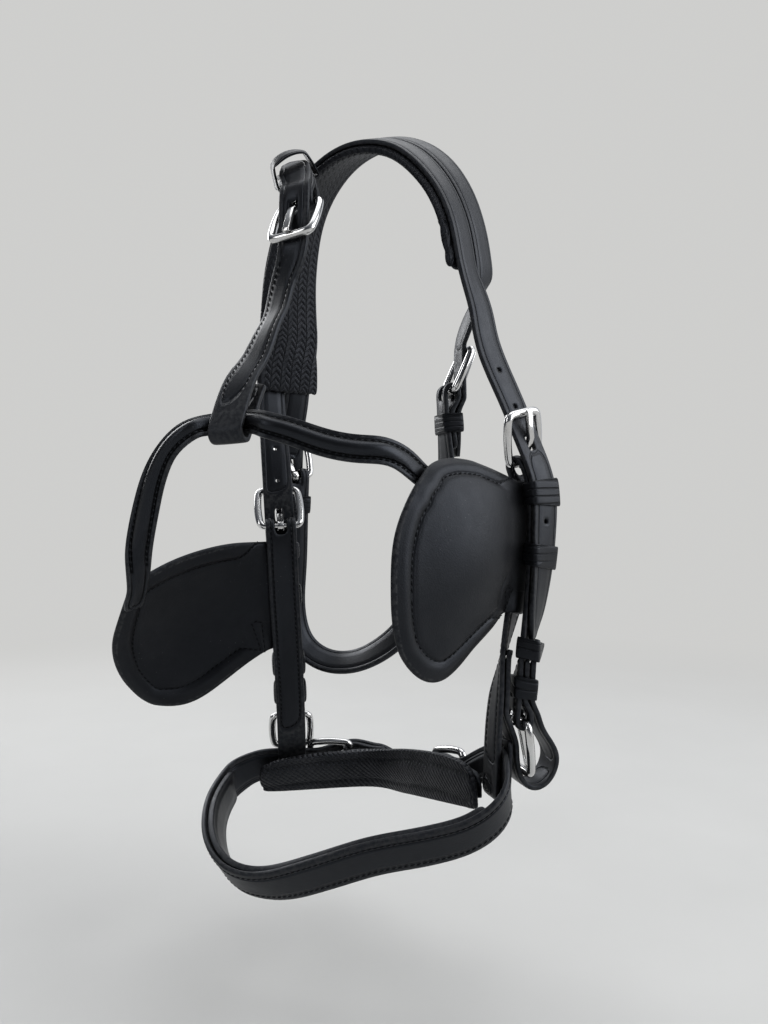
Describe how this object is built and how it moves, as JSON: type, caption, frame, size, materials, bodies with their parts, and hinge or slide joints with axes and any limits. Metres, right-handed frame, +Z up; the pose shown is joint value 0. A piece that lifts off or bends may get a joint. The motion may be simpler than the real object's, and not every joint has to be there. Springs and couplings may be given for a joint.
{
  "type": "driving bridle",
  "caption": "Black leather pony driving bridle with winkers, padded crown, buckled cheeks, throatlash and noseband, hung up by its crown.",
  "frame": {"origin": "the point under the crown pad where the bridle hangs on its hook", "axes": "+Z up, +Y to the wall behind the bridle, +X to the right of a viewer who faces that wall"},
  "size_m": [0.2167, 0.1703, 0.3812],
  "materials": {
    "leather": "smooth oiled black bridle leather",
    "lining": "soft black leather padding",
    "steel": "polished stainless steel"
  },
  "bodies": {
    "leather": {"crown_front_strap": "leather", "crown_pad": "lining", "crown_rear_strap": "leather", "forehead_chape": "leather", "forehead_keeper": "leather", "forehead_strap": "leather", "jaw_lining": "lining", "jaw_strap": "leather", "near_bit_billet": "leather", "near_cheek_keeper_1": "leather", "near_cheek_keeper_2": "leather", "near_cheek_keeper_3": "leather", "near_cheek_keeper_4": "leather", "near_cheek_strap": "leather", "near_jaw_chape": "leather", "near_throat_keeper": "leather", "near_winker": "leather", "noseband": "leather", "noseband_lining": "lining", "off_bit_billet": "leather", "off_cheek_keeper_1": "leather", "off_cheek_keeper_2": "leather", "off_cheek_keeper_3": "leather", "off_cheek_keeper_4": "leather", "off_cheek_strap": "leather", "off_jaw_chape": "leather", "off_throat_keeper": "leather", "off_winker": "leather", "throatlash": "leather", "winker_stay": "leather"},
    "forehead_frame": {"forehead_buckle": "steel"},
    "forehead_prong": {"forehead_tongue": "steel"},
    "near_cheek_lower_frame": {"near_cheek_lower_buckle": "steel"},
    "near_cheek_lower_prong": {"near_cheek_lower_tongue": "steel"},
    "near_cheek_upper_frame": {"near_cheek_upper_buckle": "steel"},
    "near_cheek_upper_prong": {"near_cheek_upper_tongue": "steel"},
    "near_jaw_frame": {"near_jaw_buckle": "steel"},
    "near_jaw_prong": {"near_jaw_tongue": "steel"},
    "near_throat_frame": {"near_throat_buckle": "steel"},
    "near_throat_prong": {"near_throat_tongue": "steel"},
    "off_cheek_lower_frame": {"off_cheek_lower_buckle": "steel"},
    "off_cheek_lower_prong": {"off_cheek_lower_tongue": "steel"},
    "off_cheek_upper_frame": {"off_cheek_upper_buckle": "steel"},
    "off_cheek_upper_prong": {"off_cheek_upper_tongue": "steel"},
    "off_jaw_frame": {"off_jaw_buckle": "steel"},
    "off_jaw_prong": {"off_jaw_tongue": "steel"},
    "off_throat_frame": {"off_throat_buckle": "steel"},
    "off_throat_prong": {"off_throat_tongue": "steel"}
  },
  "joints": [
    {"name": "forehead_frame_hinge", "type": "hinge", "parent": "leather", "child": "forehead_frame", "pos_m": [-0.02462, -0.03175, -0.04071], "axis": [-0.9167, 0.39, -0.0872], "range_deg": [-0.25, 1.5]},
    {"name": "forehead_tongue_hinge", "type": "hinge", "parent": "forehead_frame", "child": "forehead_prong", "pos_m": [-0.02462, -0.03175, -0.04071], "axis": [-0.9167, 0.39, -0.0872], "range_deg": [0, 1.5]},
    {"name": "near_cheek_lower_frame_hinge", "type": "hinge", "parent": "leather", "child": "near_cheek_lower_frame", "pos_m": [0.07906, -0.03333, -0.28664], "axis": [0.2595, -0.9653, 0.0287], "range_deg": [-1, 12]},
    {"name": "near_cheek_lower_tongue_hinge", "type": "hinge", "parent": "near_cheek_lower_frame", "child": "near_cheek_lower_prong", "pos_m": [0.07906, -0.03333, -0.28664], "axis": [0.2595, -0.9653, 0.0287], "range_deg": [0, 10]},
    {"name": "near_cheek_upper_frame_hinge", "type": "hinge", "parent": "leather", "child": "near_cheek_upper_frame", "pos_m": [0.08212, -0.03031, -0.16429], "axis": [0.7456, 0.6249, 0.2315], "range_deg": [-0.25, 1.5]},
    {"name": "near_cheek_upper_tongue_hinge", "type": "hinge", "parent": "near_cheek_upper_frame", "child": "near_cheek_upper_prong", "pos_m": [0.08212, -0.03031, -0.16429], "axis": [0.7456, 0.6249, 0.2315], "range_deg": [0, 1.5]},
    {"name": "near_jaw_frame_hinge", "type": "hinge", "parent": "leather", "child": "near_jaw_frame", "pos_m": [0.04308, 0.01332, -0.3268], "axis": [-0.097, 0.1797, 0.9789], "range_deg": [-0.25, 1.5]},
    {"name": "near_jaw_tongue_hinge", "type": "hinge", "parent": "near_jaw_frame", "child": "near_jaw_prong", "pos_m": [0.04308, 0.01332, -0.3268], "axis": [-0.097, 0.1797, 0.9789], "range_deg": [0, 1.5]},
    {"name": "near_throat_frame_hinge", "type": "hinge", "parent": "leather", "child": "near_throat_frame", "pos_m": [0.0489, 0.00322, -0.12575], "axis": [-0.1998, 0.979, 0.0398], "range_deg": [-0.25, 1.5]},
    {"name": "near_throat_tongue_hinge", "type": "hinge", "parent": "near_throat_frame", "child": "near_throat_prong", "pos_m": [0.0489, 0.00322, -0.12575], "axis": [-0.1998, 0.979, 0.0398], "range_deg": [0, 1.5]},
    {"name": "off_cheek_lower_frame_hinge", "type": "hinge", "parent": "leather", "child": "off_cheek_lower_frame", "pos_m": [-0.0394, 0.05077, -0.30652], "axis": [0.9915, 0.1267, 0.0308], "range_deg": [-1, 12]},
    {"name": "off_cheek_lower_tongue_hinge", "type": "hinge", "parent": "off_cheek_lower_frame", "child": "off_cheek_lower_prong", "pos_m": [-0.0394, 0.05077, -0.30652], "axis": [0.9915, 0.1267, 0.0308], "range_deg": [0, 10]},
    {"name": "off_cheek_upper_frame_hinge", "type": "hinge", "parent": "leather", "child": "off_cheek_upper_frame", "pos_m": [-0.04002, 0.0101, -0.19583], "axis": [-0.9825, -0.1788, -0.0518], "range_deg": [-0.25, 1.5]},
    {"name": "off_cheek_upper_tongue_hinge", "type": "hinge", "parent": "off_cheek_upper_frame", "child": "off_cheek_upper_prong", "pos_m": [-0.04002, 0.0101, -0.19583], "axis": [-0.9825, -0.1788, -0.0518], "range_deg": [0, 1.5]},
    {"name": "off_jaw_frame_hinge", "type": "hinge", "parent": "leather", "child": "off_jaw_frame", "pos_m": [-0.00449, 0.05651, -0.33375], "axis": [-0.0146, 0.3511, -0.9362], "range_deg": [-0.25, 1.5]},
    {"name": "off_jaw_tongue_hinge", "type": "hinge", "parent": "off_jaw_frame", "child": "off_jaw_prong", "pos_m": [-0.00449, 0.05651, -0.33375], "axis": [-0.0146, 0.3511, -0.9362], "range_deg": [0, 1.5]},
    {"name": "off_throat_frame_hinge", "type": "hinge", "parent": "leather", "child": "off_throat_frame", "pos_m": [-0.03774, 0.05183, -0.16728], "axis": [-0.8645, -0.5022, -0.0212], "range_deg": [-0.25, 1.5]},
    {"name": "off_throat_tongue_hinge", "type": "hinge", "parent": "off_throat_frame", "child": "off_throat_prong", "pos_m": [-0.03774, 0.05183, -0.16728], "axis": [-0.8645, -0.5022, -0.0212], "range_deg": [0, 1.5]}
  ]
}
